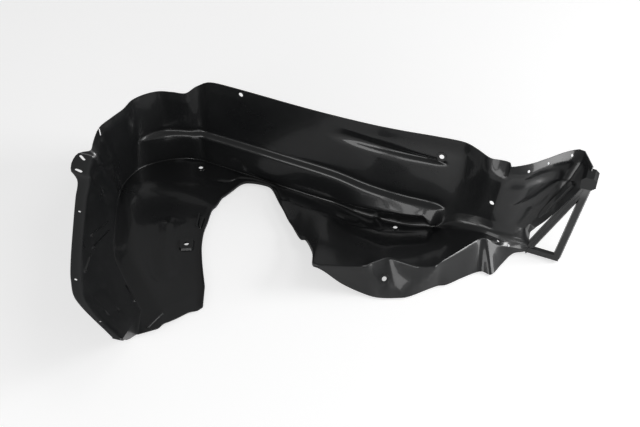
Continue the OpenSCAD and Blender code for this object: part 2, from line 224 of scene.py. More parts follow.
# Axle cut-out, then the rim of the front leg: station, x, y, z
INNER_EDGE = Track((
    (S_FOLD, 202, -212, 4), (-230, 192, -150, 2), (-180, 187, -103, 2), (-130, 188, -63, 2),
    (-70, 194, -31, 2), (10, 200, 3, 2), (105, 210, 19, 3), (215, 220, 41, 4), (260, 230, 52, 4),
    (300, 242, 66, 4), (340, 258, 84, 4), (370, 274, 91, 4), (405, 305, 86, 4), (432, 328, 70, 6),
    (452, 345, 25, 10), (500, 377, -55, 20), (520, 392, -95, 30), (535, 403, -100, 32),
    (560, 417, -152, RIM_H - 20), (588, 420, -206, RIM_H), (610, 450, -212, RIM_H), (665, 514, -214, RIM_H),
    (700, 540, -201, RIM_H), (725, 564, -191, RIM_H), (745, 582, -197, RIM_H), (775, 621, -214, RIM_H),
    (805, 654, -214, RIM_H), (825, 672, -198, RIM_H - 2), (855, 718, -160, RIM_H - 6),
    (885, 750, -132, RIM_H - 10), (905, 766, -129, RIM_H - 12), (930, 789, -130, 40), (950, 807, -124, 30),
    (970, 830, -120, 20), (S_FRONT, 850, -118, 10)))
# Lower edge of the skirt: station, x, y, z
SKIRT_EDGE = Track((
    (S_SKIRT, 424, -211, RIM_H - 6), (610, 442, -212, 50), (640, 474, -215, 20), (665, 511, -224, 4),
    (695, 544, -234, 0), (735, 589, -235, 0), (770, 611, -230, 0), (815, 665, -204, 0), (830, 683, -201, 0),
    (860, 721, -180, 0), (885, 756, -165, 0), (905, 776, -174, 0), (925, 798, -148, 0), (960, 826, -117, 0),
    (S_FRONT, 849, -113, 2)))
# Width of the bottom flange below each corner of the section
BOTTOM_FLANGE = (3, 2, 10, 15, 19, 30, 34, 36, 55, 56, 57, 44, 38, 42, 42, 50, 48, 46)


def heel_normal(s: float) -> Vec:
    """Return the direction away from the tyre at station s of the heel line.

    Args:
        s: Station along the heel line.

    Returns:
        A unit direction in x and y.
    """
    if s <= 0:
        return np.array([-1.0, 0.0])
    if s < CORNER_LEN:
        turn = math.pi - s/CORNER_R
        return np.array([math.cos(turn), math.sin(turn)])
    fall = math.radians(CEILING_FALL)
    return np.array([math.sin(fall), math.cos(fall)])


def heel_point(s: float) -> Vec:
    """Return the point of the heel line at station s, seen from outboard.

    Args:
        s: Station along the heel line.

    Returns:
        The point's x and y, in mm.
    """
    if s <= 0:
        return np.array([REAR_X, CORNER_Y + s])
    n = heel_normal(s)
    run = max(0.0, s - CORNER_LEN)
    return np.array([CORNER_X, CORNER_Y]) + CORNER_R*n + run*np.array([n[1], -n[0]])


def from_heel(s: float, outward: float, up: float) -> Vec:
    """Return a point given by its station, its distance outward and its height."""
    p = heel_point(s) + heel_normal(s)*outward
    return np.array([p[0], p[1], up])


@dataclass(frozen=True)
class Bead:
    """A line of the sheet that is pressed up towards the tyre or down, in mm."""
    places: tuple[Place, ...]
    width: float
    height: float

    def lift(self, points: Vec, line: Vec) -> Vec:
        """Return how far each point is pushed.

        Args:
            points: Points of the sheet, in mm.
            line: Corners of the bead's line on the sheet, in mm.

        Returns:
            Push towards the tyre at each point, smooth across the bead.
        """
        nearest = np.full(points.shape[:-1], np.inf)
        for a, b in zip(line, line[1:]):
            run = b - a
            t = np.clip((points - a) @ run/(run @ run), 0, 1)
            nearest = np.minimum(nearest, np.linalg.norm(points - a - t[..., None]*run, axis=-1))
        across = np.clip(2*nearest/self.width, 0, 1)
        return self.height*(1 - across**2)**2


@dataclass
class Moulding:
    """The one-piece sheet: a section swept along the heel line and thickened."""
    name: str = "splash_shield_moulding"
    thickness: float = SHEET_T
    # Distance between rows, the closer distance and the stations that need it
    row_step: float = 5.0
    fine_step: float = 2.5
    fine_spans: tuple[Span, ...] = ((222, 272), (764, 816))
    # Rows of the bottom flange, as shares of its width, and the first row after its fold
    flange_rows: tuple[float, ...] = (1, 0.75, 0.5, 0.25, 0.06)
    fold_step: float = 2.4
    # Least distance between the last two rows
    last_step: float = 3.0
    # The bottom flange sinks by this much, but not below its level
    flange_drop: float = 3.0
    flange_level: float = 2.0
    # Stations between which each form of the sheet grows or fades
    front_cut_run: float = 60.0
    pocket_on: Span = (520, 620)
    pocket_off: Span = (770, 800)
    pocket_sink: Span = (560, 800)
    wall_rise: Span = (200, 300)
    band_on: Span = (80, 170)
    band_off: Span = (786, 812)
    band_level: Span = (0, 300)
    band_sink: Span = (520, 780)
    band_lift: Span = (480, 740)
    gap_off: Span = (768, 796)
    past_band: Span = (800, 840)
    bowl_on: Span = (S_FOLD, S_FOLD + 60)
    bowl_off: Span = (-20, 120)
    lip_over: Span = (440, 520)
    # Depths below the outboard edge: the pocket's lower edge at the rear and the front, its
    # upper edge at the rear, and that edge over the wheel and at the front
    pocket_low: Span = (50, 60)
    pocket_high_rear: float = 34.0
    pocket_high: Span = (24, 50)
    pocket_middle: float = 0.4
    # The band, with values before and after it lifts off the heel
    band_share: Span = (0.6, 1)
    band_sink_d: float = 10.0
    rear_gap: float = 6.0
    gap_edge: float = 2.0
    groove_high: float = 18.0
    groove_low: Span = (8, 4)
    top_share: Span = (1, 0.4)
    foot_share: Span = (0.9, 0.3)
    foot_level: Span = (0.7, 0.85)
    heel_back: float = 0.8
    # Least height over the heel of each corner of the wall, past the band's front end
    least_rise: tuple[float, ...] = (0, 0, 0, 52, 44, 36, 32, 28)
    heel_soft: float = 0.45
    ledge_rise: float = 2.0
    ledge_border: float = 10.0
    border_share: float = 0.25
    # Shares of the way across the bowl, with the share of its depth there
    bowl_shape: tuple[Span, ...] = ((0.35, 0.8), (0.70, 0.5))
    # The cut-out's lip stands up and turns over towards the front leg, in degrees
    lip_up: float = 90.0
    lip_turn: float = 125.0
    # Points round each bend, and the most that a bend takes of the sides it joins
    arc_points: int = 4
    bend_share: float = 0.45
    # Number of the heel's corner, whose bend is wider at both ends of the arch
    heel_corner: int = 10
    front_heel_bend: float = 30.0
    rear_heel_bend: float = 12.0
    rear_heel_off: Span = (-60, 60)
    # Steps to both sides of a spot that give the sheet's direction there
    probe: float = 3.0
    probe_w: float = 0.05
    # Length of the rounding at each corner of the section, and points after it
    rounding: tuple[float, ...] = (0, 9, 6, 8, 6, 6, 5, 6, 5, 5, 7, 8, 5, 30, 30, 5, 5, 0)
    fill: tuple[int, ...] = (2, 3, 6, 6, 10, 2, 1, 4, 1, 1, 4, 1, 12, 14, 12, 1, 5)
    beads: tuple[Bead, ...] = (
        # Valley under the fixing flange of the front end, and the hooked crease below it
        Bead(((920, 1.45), (932, 1.4), (944, 1.4), (954, 1.5)), 40, -6),
        Bead(((932, 4.6), (947, 4.5), (958, 4.4), (965, 4.2), (971, 4.0)), 18, -4),
        # Fold of the rear lobe, up from its lower corner
        Bead(((-55, 0.1), (-61, 0.7), (-52, 1.65), (-20, 3.6), (23, 5.9)), 18, -3),
        # Crease across the skirt of the front leg
        Bead(((665, 16.05), (683, 16.25), (704, 16.5), (722, 16.65), (740, 16.7), (767, 16.7),
              (779, 16.6), (794, 16.4), (806, 16.1)), 12, 2.5),
        # Soft ridge of the bowl beside the cut-out
        Bead(((-90, 13.5), (-140, 13.45), (-190, 13.3), (-235, 13.2)), 60, 6),
        # Dimples near the rear lobe's lower corner
        Bead(((-270, 1.7), (-272, 2.1)), 15, -4), Bead(((-277, 4.6), (-277, 5.1)), 14, -4),
        Bead(((-253, 1.8), (-254, 2.2)), 12, -3), Bead(((-281, 7.4), (-284, 7.8)), 16, -4),
        # Groove that steps round the top of the cut-out and runs along the ledge
        Bead(((311, 11.05), (325, 12.6), (338, 12.0), (350, 11.3), (380, 10.85), (410, 10.95),
              (431, 11.0), (449, 11.2), (464, 11.0), (482, 10.85), (521, 10.85), (581, 10.8),
              (638, 10.65)), 10, -3),
        # Step where the lit part of the ledge ends, before its clip hole
        Bead(((672, 10.15), (680, 10.4), (689, 10.9)), 16, 5))

    def wall_point(self, s: float, ends: dict[str, float], height: float, push: float) -> Vec:
        """Return the wall's point at a height.

        Args:
            s: Station along the heel line.
            ends: Shifts, outward places and heights of the heel and the flange fold.
            height: Height of the point.
            push: Distance outward from the straight wall.

        Returns:
            The point in the source frame, in mm.
        """
        t = (height - ends["heel_z"])/(ends["fold_z"] - ends["heel_z"])
        back = low_bulge(t)*FRONT_CUT*ease(S_FRONT - self.front_cut_run, S_FRONT, s)
        return from_heel(s + mix(ends["heel_s"], ends["edge_s"], t) - back,
                         mix(ends["heel_a"], ends["fold_a"], t) + push, height)

    def section(self, s: float) -> list[Vec]:
        """Return the section's corners at station s, outboard edge first.

        Args:
            s: Station along the heel line.

        Returns:
            Eighteen corners in the source frame, in mm.
        """
        flare, edge_z = OUTBOARD_EDGE.at(s, 2), OUTBOARD_EDGE.at(s, 3)
        ends = {"edge_s": OUTBOARD_EDGE.at(s, 1), "fold_a": flare + FLANGE_FOLD.at(s, 1),
                "fold_z": edge_z + FLANGE_FOLD.at(s, 2), "heel_s": HEEL_BEND.at(s, 1),
                "heel_a": HEEL_BEND.at(s, 2), "heel_z": HEEL_LEVEL.at(s)}
        heel_z = ends["heel_z"]
        pocket = POCKET_D*ease(*self.pocket_on, s)*(1 - ease(*self.pocket_off, s))
        band_z = (BAND_TOP + heel_z*(1 - ease(*self.band_level, s))
                  - self.band_sink_d*ease(*self.band_sink, s))
        lifted = ease(*self.band_lift, s)
        band_share = ease(*self.band_on, s)*(1 - ease(*self.band_off, s))
        band = band_share*BAND_D*mix(*self.band_share, lifted)
        foot = mix(*self.foot_share, lifted)*band
        gap = mix(self.rear_gap, BAND_GAP, lifted*(1 - ease(*self.gap_off, s)))
        wide = ease(*self.wall_rise, s)
        low_rear, low_front = self.pocket_low
        low_z = mix(REAR_WALL_H - low_rear, WALL_H - low_front, wide)
        high_d = mix(*self.pocket_high, ease(*self.pocket_sink, s))
        high_z = mix(REAR_WALL_H - self.pocket_high_rear, WALL_H - high_d, wide)
        past = ease(*self.past_band, s)
        walls = [(high_z, 0), (mix(low_z, high_z, self.pocket_middle), pocket), (low_z, 0),
                 (band_z + self.groove_high, 0),
                 (band_z + mix(*self.groove_low, lifted), GROOVE_D*band/BAND_D),
                 (band_z, -mix(*self.top_share, lifted)*band),
                 (heel_z + gap + self.gap_edge, -band),
                 (heel_z + mix(*self.foot_level, lifted)*gap, -foot)]
        walls = [(mix(height, max(height, heel_z + rise), past), push)
                 for (height, push), rise in zip(walls, self.least_rise)]
        wall = [self.wall_point(s, ends, height, push) for height, push in walls]
        ledge_p = from_heel(s + ends["heel_s"], ends["heel_a"] - LEDGE.at(s), heel_z + self.ledge_rise)
        heel_a = ends["heel_a"] - (1 - lifted)*foot*self.heel_back
        heel = from_heel(s + ends["heel_s"], heel_a, heel_z)
        heel = mix(heel, 0.5*(wall[-1] + ledge_p), self.heel_soft*past)
        return ([from_heel(s + ends["edge_s"], flare, edge_z),
                 from_heel(s + ends["edge_s"], ends["fold_a"], ends["fold_z"])]
                + wall + [heel] + self.floor_corners(s, ledge_p))

    def floor_corners(self, s: float, ledge_p: Vec) -> list[Vec]:
        """Return the section's corners from the ledge to the cut-out's lip or the skirt's edge.

        Args:
            s: Station along the heel line.
            ledge_p: Inner end of the ledge.

        Returns:
            Seven corners, the ledge's first.
        """
        inner_p = DATUM + [INNER_EDGE.at(s, k) for k in (1, 2, 3)]
        across = inner_p - ledge_p
        out = unit(across[:2])
        border = min(self.border_share, self.ledge_border/np.linalg.norm(across))
        down = np.array([0, 0, BOWL_D*(1 - ease(*self.bowl_off, s))*ease(*self.bowl_on, s)])
        bowl = [mix(ledge_p, inner_p, way) - depth*down for way, depth in self.bowl_shape]
        if s < S_SKIRT:
            turn = math.radians(self.lip_up - self.lip_turn*ease(*self.lip_over, s))
            side = math.cos(turn)
            end_p = inner_p + LIP_H*np.array([out[0]*side, out[1]*side, math.sin(turn)])
        else:
            end_p = DATUM + [SKIRT_EDGE.at(s, k) for k in (1, 2, 3)]
        return [ledge_p, mix(ledge_p, inner_p, border), *bowl, mix(ledge_p, inner_p, 1 - border),
                inner_p, end_p]

    def corners(self, s: float) -> list[Vec]:
        """Return the section's corners, with the bottom flange before the fold.

        Args:
            s: Station along the heel line.

        Returns:
            As many corners as the section has.
        """
        if s >= S_FOLD:
            return self.section(s)
        k = (S_FOLD - s)/FLANGE_RUN
        return [p - k*np.array([0, width, min(self.flange_drop, max(0.0, p[2] - self.flange_level))])
                for p, width in zip(self.section(S_FOLD), BOTTOM_FLANGE)]

    def row(self, s: float) -> list[Vec]:
        """Return the section's points at station s with its corners rounded.

        Args:
            s: Station along the heel line.

        Returns:
            The same number of points at every station.
        """
        corners = self.corners(s)
        last = len(corners) - 1
        lengths = [np.linalg.norm(b - a) for a, b in zip(corners, corners[1:])]
        bends = list(self.rounding)
        bends[self.heel_corner] += (self.front_heel_bend*ease(*self.past_band, s)
                                    + self.rear_heel_bend*(1 - ease(*self.rear_heel_off, s)))
        share = self.bend_share
        cuts = [min(bends[k], share*lengths[k - 1], share*lengths[k]) for k in range(1, last)]
        cuts = [0.0] + cuts + [0.0]
        points = [corners[0]]
        for k in range(last):
            leave = mix(corners[k], corners[k + 1], cuts[k]/lengths[k])
            reach = mix(corners[k + 1], corners[k], cuts[k + 1]/lengths[k])
            points += [mix(leave, reach, t/(self.fill[k] + 1)) for t in range(1, self.fill[k] + 1)]
            if k + 1 == last:
                points.append(corners[last])
                break
            after = mix(corners[k + 1], corners[k + 2], cuts[k + 1]/lengths[k + 1])
            for t in np.linspace(0, 1, self.arc_points):
                points.append((1 - t)**2*reach + 2*t*(1 - t)*corners[k + 1] + t*t*after)
        return points

    def stations(self) -> list[float]:
        """Return the rows' stations, closer together at folds and at the band's end.

        Returns:
            Stations from the bottom flange's edge to the front end.
        """
        places = [S_FOLD - FLANGE_RUN*share for share in self.flange_rows]
        s = S_FOLD + self.fold_step
        while s < S_FRONT - self.last_step:
            places.append(s)
            fine = any(low < s < high for low, high in self.fine_spans)
            s += self.fine_step if fine else self.row_step
        return places + [S_FRONT]

    def grid(self) -> Vec:
        """Return the skin's points as an array of rows, columns and coordinates.

        Returns:
            Points of the side that faces the tyre, with the beads pressed in.
        """
        flat = np.array([self.row(s) for s in self.stations()])
        away = self.away(flat)
        push = sum(bead.lift(flat, np.array([self.spot(*p) for p in bead.places]))
                   for bead in self.beads)
        return flat - away*push[..., None]

    def away(self, grid: Vec) -> Vec:
        """Return the unit directions from the skin to the back of the sheet.

        Args:
            grid: Points of the skin, by row and column.

        Returns:
            A direction at each point.
        """
        along = np.gradient(grid, axis=0)
        across = np.gradient(grid, axis=1)
        n = np.cross(along, across)
        return n/np.linalg.norm(n, axis=2, keepdims=True)

    def spot(self, s: float, w: float) -> Vec:
        """Return the sheet's point at a station and a place on the section.

        Args:
            s: Station along the heel line.
            w: Number of the corner before it, and the share of the way to the next.

        Returns:
            The point in the source frame, in mm.
        """
        corners = self.corners(s)
        k = int(w)
        return mix(corners[k], corners[k + 1], w - k)

    def spot_away(self, s: float, w: float) -> Vec:
        """Return the direction to the back of the sheet at a spot."""
        return unit(np.cross(self.spot(s + self.probe, w) - self.spot(s - self.probe, w),
                             self.spot(s, w + self.probe_w) - self.spot(s, w - self.probe_w)))

    def seat(self, s: float, w: float) -> Matrix:
        """Return the frame at a spot: x along the sheet and z towards the tyre.

        Args:
            s: Station along the heel line.
            w: Place on the section.

        Returns:
            A 4 by 4 matrix in mm.
        """
        along = self.spot(s + self.probe, w) - self.spot(s - self.probe, w)
        return seat_matrix(self.spot(s, w), self.spot_away(s, w), along)

    def build(self) -> bpy.types.Object:
        """Build the closed sheet, before its holes are cut.

        Returns:
            The sheet at an even thickness, in mm.
        """
        skin = self.grid()
        away = self.away(skin)
        rows, cols = skin.shape[:2]
        layers = [skin, skin + self.thickness*away]
        verts = np.concatenate([layer.reshape(-1, 3) for layer in layers])
        index = np.arange(2*rows*cols).reshape(2, rows, cols)
        faces = []
        for side, order in ((0, (0, 3, 2, 1)), (1, (0, 1, 2, 3))):
            part = index[side]
            cells = np.stack([part[:-1, :-1], part[1:, :-1], part[1:, 1:], part[:-1, 1:]],
                             axis=-1)
            faces += cells.reshape(-1, 4)[:, order].tolist()
        rims = [index[:, :, 0], index[:, ::-1, -1], index[:, 0, ::-1], index[:, -1, :]]
        for rim in rims:
            cells = np.stack([rim[0, :-1], rim[0, 1:], rim[1, 1:], rim[1, :-1]], axis=-1)
            faces += cells.tolist()
        return mesh_object(self.name, verts, faces)


def seat_matrix(place: Vec, away: Vec, along: Vec) -> Matrix:
    """Return a frame whose z points towards the tyre.

    Args:
        place: Origin of the frame in the source frame, in mm.
        away: Direction to the back of the sheet.
        along: Direction near the frame's x.

    Returns:
        A 4 by 4 matrix in mm.
    """
    z = -away
    y = unit(np.cross(z, along))
    x = np.cross(y, z)
    matrix = np.eye(4)
    for k, column in enumerate((x, y, z, place)):
        matrix[:3, k] = column
    return Matrix(matrix.tolist())


def mesh_object(name: str, verts: Sequence, faces: Sequence) -> bpy.types.Object:
    """Make an object from points in mm and faces.

    Args:
        name: Name of the object.
        verts: Points in the source frame, in mm.
        faces: Point numbers of each face.

    Returns:
        The new object, linked to the scene, still in mm.
    """
    mesh = bpy.data.meshes.new(name)
    mesh.from_pydata([tuple(map(float, v)) for v in verts], [],
                     [tuple(map(int, f)) for f in faces])
    mesh.update()
    obj = bpy.data.objects.new(name, mesh)
    bpy.context.scene.collection.objects.link(obj)
    return obj


def prism(outline: Sequence[Place], low: float, high: float, matrix: Matrix,
          top: Sequence[Place] | None = None, name: str = "prism") -> bpy.types.Object:
    """Make a prism between two heights of a frame.

    Args:
        outline: Corners seen from +z, anticlockwise.
        low: Height of the base.
        high: Height of the top.
        matrix: Frame of the prism.
        top: Corners of the top, where it is smaller than the base.
        name: Name of the object.

    Returns:
        The prism in the source frame, in mm.
    """
    n = len(outline)
    rings = ((low, outline), (high, top or outline))
    points = [matrix @ Vector((x, y, z)) for z, ring in rings for x, y in ring]
    sides = [(k, (k + 1) % n, n + (k + 1) % n, n + k) for k in range(n)]
    return mesh_object(name, points, [tuple(range(n))[::-1], tuple(range(n, 2*n))] + sides)


def circle(diameter: float, points: int = 48) -> list[Place]:
    """Return the corners of a circle.

    Args:
        diameter: Diameter of the circle.
        points: Number of corners.

    Returns:
        Corners, anticlockwise.
    """
    turns = [2*math.pi*k/points for k in range(points)]
    return [(0.5*diameter*math.cos(a), 0.5*diameter*math.sin(a)) for a in turns]


def stadium(length: float, width: float, turn: float = 0.0, points: int = 12) -> list[Place]:
    """Return the corners of a slot with round ends, turned in its plane.

    Args:
        length: Distance between the ends' centres.
        width: Width of the slot.
        turn: Angle of the slot, in degrees.
        points: Steps round each end.

    Returns:
        Corners, anticlockwise.
    """
    corners = []
    for side in (1, -1):
        for k in range(points + 1):
            a = math.pi*(k/points - 0.5)
            corners.append((side*0.5*(length + width*math.cos(a)), side*0.5*width*math.sin(a)))
    c, s = math.cos(math.radians(turn)), math.sin(math.radians(turn))
    return [(c*x - s*y, s*x + c*y) for x, y in corners]


class Cut(Enum):
    """How a tool object changes a body."""
    ADD = "UNION"
    REMOVE = "DIFFERENCE"


def combine(body: bpy.types.Object, tools: list[bpy.types.Object], how: Cut) -> None:
    """Add tool solids to a body or cut them from it.

    Args:
        body: Object that is changed.
        tools: Closed solids, which are used up.
        how: Whether they are added or removed.
    """
    for tool in tools:
        modifier = body.modifiers.new("combine", "BOOLEAN")
        modifier.operation = how.value
        modifier.solver = "MANIFOLD"
        modifier.object = tool
    graph = bpy.context.evaluated_depsgraph_get()
    mesh = bpy.data.meshes.new_from_object(body.evaluated_get(graph))
    body.modifiers.clear()
    body.data = mesh
    for tool in tools:
        bpy.data.objects.remove(tool)


@dataclass
class FixingPoints:
    """Push clip holes with their pads, screw holes and slots."""
    sheet: Moulding
    clip_d: float = 10.0
    screw_d: float = 6.0
    # Round pads and the square one, which stands higher; all are hollow behind
    pad_d: float = 24.0
    pad_w: float = 34.0
    pad_h: float = 1.5
    square_h: float = 5.0
    square_chamfer: float = 5.0
    recess_d: float = 18.0
    clearance: float = 1.0
    through: float = 30.0
    plain_clips: tuple[Place, ...] = ((342, 0.5), (898, 4.65))
    padded_clips: tuple[Place, ...] = ((782, 1.7), (255, 10.45), (718, 10.55), (712, 16.5))
    square_clip: Place = (-165, 14.4)
    screws: tuple[Place, ...] = ((-125, 0.5), (-222, 0.5), (-278, 0.5), (930, 0.5), (952, 0.5),
                                 (972, 0.5), (932, 12.6), (956, 14.5))
    slots: tuple[Place, ...] = ((-54, 0.42), (-38, 0.42), (30, 0.45))
    slot_l: float = 16.0
    slot_w: float = 7.0
    slot_turn: float = 60.0

    def pads(self) -> list[bpy.types.Object]:
        """Build the raised pads round the clip holes, with their tops a little smaller.

        Returns:
            Closed solids, the square pad last.
        """
        base = -SHEET_T - self.pad_h
        small = 1 - 4*self.pad_h/self.pad_w
        e = 0.5*self.pad_w
        c = e - self.square_chamfer
        square = [(-c, -e), (c, -e), (e, -c), (e, c), (c, e), (-c, e), (-e, c), (-e, -c)]
        small_square = [(small*x, small*y) for x, y in square]
        pads = [prism(circle(self.pad_d), base, self.pad_h, self.sheet.seat(*p),
                      circle(small*self.pad_d)) for p in self.padded_clips]
        return pads + [prism(square, base, self.square_h, self.sheet.seat(*self.square_clip),
                             small_square)]

    def recesses(self) -> list[bpy.types.Object]:
        """Build the solids that hollow the pads from the back, down to the sheet's thickness.

        Returns:
            Closed solids, one for each pad.
        """
        base = -SHEET_T - self.pad_h - self.clearance
        tops = [(p, self.pad_h) for p in self.padded_clips] + [(self.square_clip, self.square_h)]
        return [prism(circle(self.recess_d), base, top - SHEET_T, self.sheet.seat(*p))
                for p, top in tops]

    def cutters(self) -> list[bpy.types.Object]:
        """Build the solids that cut the holes and slots.

        Returns:
            Closed solids that reach through the sheet and its pads.
        """
        reach = 0.5*self.through
        clips = (*self.plain_clips, *self.padded_clips, self.square_clip)
        slot = stadium(self.slot_l - self.slot_w, self.slot_w, self.slot_turn)
        return (self.recesses()
                + [prism(circle(self.clip_d), -reach, reach, self.sheet.seat(*p)) for p in clips]
                + [prism(circle(self.screw_d), -reach, reach, self.sheet.seat(*p)) for p in self.screws]
                + [prism(slot, -reach, reach, self.sheet.seat(*p)) for p in self.slots])


@dataclass
class StiffeningRibs:
    """Small ribs on the sheet and the strip along its front edge."""
    sheet: Moulding
    width: float = 8.0
    height: float = 3.0
    ends: tuple[tuple[Place, Place], ...] = (
        ((-130, 7.7), (-178, 4.2)), ((-108, 7.6), (-158, 3.2)), ((-188, 3.4), (-212, 1.6)),
        ((-334, 10.4), (-309, 11.5)), ((-259, 8.7), (-286, 9.1)))
    # Bars beside the rim of the cut-out
    rim_bars: tuple[tuple[Place, Place], ...] = (
        ((-19, 14.75), (-98, 14.8)), ((-43, 15.02), (-104, 15.05)))
    rim_bar_h: float = 5.0
    strip: tuple[Place, Place] = ((S_FRONT - 4, 2), (S_FRONT - 7, 5.2))
    strip_w: float = 14.0
    strip_h: float = 5.0

    def rib(self, start: Place, end: Place, width: float, height: float) -> bpy.types.Object:
        """Build one round-ended rib.

        Args:
            start: Station and section place where it starts.
            end: Station and section place where it ends.
            width: Width of the rib.
            height: Height of the rib above the sheet.

        Returns:
            The rib as a closed solid.
        """
        p, q = self.sheet.spot(*start), self.sheet.spot(*end)
        away = self.sheet.spot_away(0.5*(start[0] + end[0]), 0.5*(start[1] + end[1]))
        length = np.linalg.norm(q - p) - width
        return prism(stadium(length, width), -0.5*SHEET_T, height, seat_matrix(0.5*(p + q), away, q - p),
                     stadium(length, width - height))

    def solids(self) -> list[bpy.types.Object]:
        """Build the ribs and the front strip.

        Returns:
            Closed solids that sink into the sheet.
        """
        ribs = [self.rib(start, end, self.width, self.height) for start, end in self.ends]
        ribs += [self.rib(start, end, self.width, self.rim_bar_h) for start, end in self.rim_bars]
        return ribs + [self.rib(*self.strip, self.strip_w, self.strip_h)]


@dataclass
class DuctFrame:
    """Three bars round an open triangle, and the block that joins them to the wall."""
    height: float = 165.0
    bar_w: float = 18.0
    bar_d: float = 12.0
    # Widths of the right and bottom bars, as shares of the near bar's
    right_share: float = 0.9
    bottom_share: float = 0.8
    bottom_depth: float = 0.9
    near_depth: float = 0.5
    # Run of the bottom bar past its two corners, as shares of the near bar's width
    bottom_past: Span = (0.8, 0.3)
    # Raised edges of the near bar: distance from its middle, as a share of its width, and size
    edge_at: float = 0.42
    edge_w: float = 2.5
    edge_h: float = 6.0
    edge_lift: float = 0.3
    slim_top: float = 0.75
    block_w: float = 30.0
    block_chamfer: float = 0.25
    block_turn: float = -20.0
    block_shift: tuple[float, float, float] = (-3.0, -3.0, 10.0)
    # Near corner from the rear, and the two other corners from it, in x and y
    near_at: Place = (856.0, -108.0)
    far_run: Place = (56.0, -24.0)
    top_run: Place = (104.0, 24.0)

    def __post_init__(self) -> None:
        """Place the corners of the frame."""
        self.near = np.array([REAR_X + self.near_at[0], self.near_at[1], 0.5*self.bar_d])
        self.far = self.near + np.array([*self.far_run, 0.0])
        self.top = self.near + np.array([*self.top_run, self.height])

    def bar(self, plane: Matrix, p: Place, q: Place, width: float, depth: float,
            lift: float = 0.0) -> bpy.types.Object:
        """Build a straight bar in the plane of the frame; a wide one has slanted sides.

        Args:
            plane: Axes of the frame's plane.
            p: Start of the bar.
            q: End of the bar.
            width: Width in the plane.
            depth: Depth through the plane.
            lift: Height of the bar's middle above the plane.

        Returns:
            The bar as a closed solid.
        """
        run = np.subtract(q, p)
        along = unit(run)
        side = 0.5*width*np.array([-along[1], along[0]])
        outline = [tuple(p - side), tuple(q - side), tuple(q + side), tuple(p + side)]
        slim = self.slim_top*side if width > 0.5*self.bar_w and not lift else side
        top = [tuple(p - slim), tuple(q - slim), tuple(q + slim), tuple(p + slim)]
        return prism(outline, lift - 0.5*depth, lift + 0.5*depth, plane, top)

    def solids(self) -> list[bpy.types.Object]:
        """Build the bars, the near bar's raised edges and the corner block.

        Returns:
            Closed solids that run into one another.
        """
        across, rise = self.far - self.near, self.top - self.near
        normal = unit(np.cross(across, rise))
        x = unit(across)
        y = np.cross(normal, x)
        plane = seat_matrix(self.near, -normal, x)
        far, top = (float(np.linalg.norm(across)), 0.0), (float(rise @ x), float(rise @ y))
        before, after = (share*self.bar_w for share in self.bottom_past)
        solids = [self.bar(plane, far, top, self.right_share*self.bar_w, self.bar_d),
                  self.bar(plane, (-before, 0), (far[0] + after, 0), self.bottom_share*self.bar_w,
                           self.bottom_depth*self.bar_d),
                  self.bar(plane, (0, 0), top, self.bar_w, self.near_depth*self.bar_d)]
        for e in (-self.edge_at*self.bar_w, self.edge_at*self.bar_w):
            solids.append(self.bar(plane, (0, e), (top[0], top[1] + e), self.edge_w, self.edge_h,
                                   self.edge_lift*self.bar_d))
        return solids + [self.corner_block()]

    def corner_block(self) -> bpy.types.Object:
        """Build the block that joins the frame to the wall.

        Returns:
            A closed solid with three corners cut.
        """
        b, c = 0.5*self.block_w, self.block_chamfer*self.block_w
        outline = [(-b, -b), (b - c, -b), (b, c - b), (b, b - c), (b - c, b), (c - b, b), (-b, b - c)]
        place = Matrix.Translation(Vector(self.top + np.array(self.block_shift)))
        return prism(outline, -b, b, place @ Matrix.Rotation(math.radians(self.block_turn), 4, "Z")
                     @ Matrix.Rotation(math.radians(90), 4, "X"))


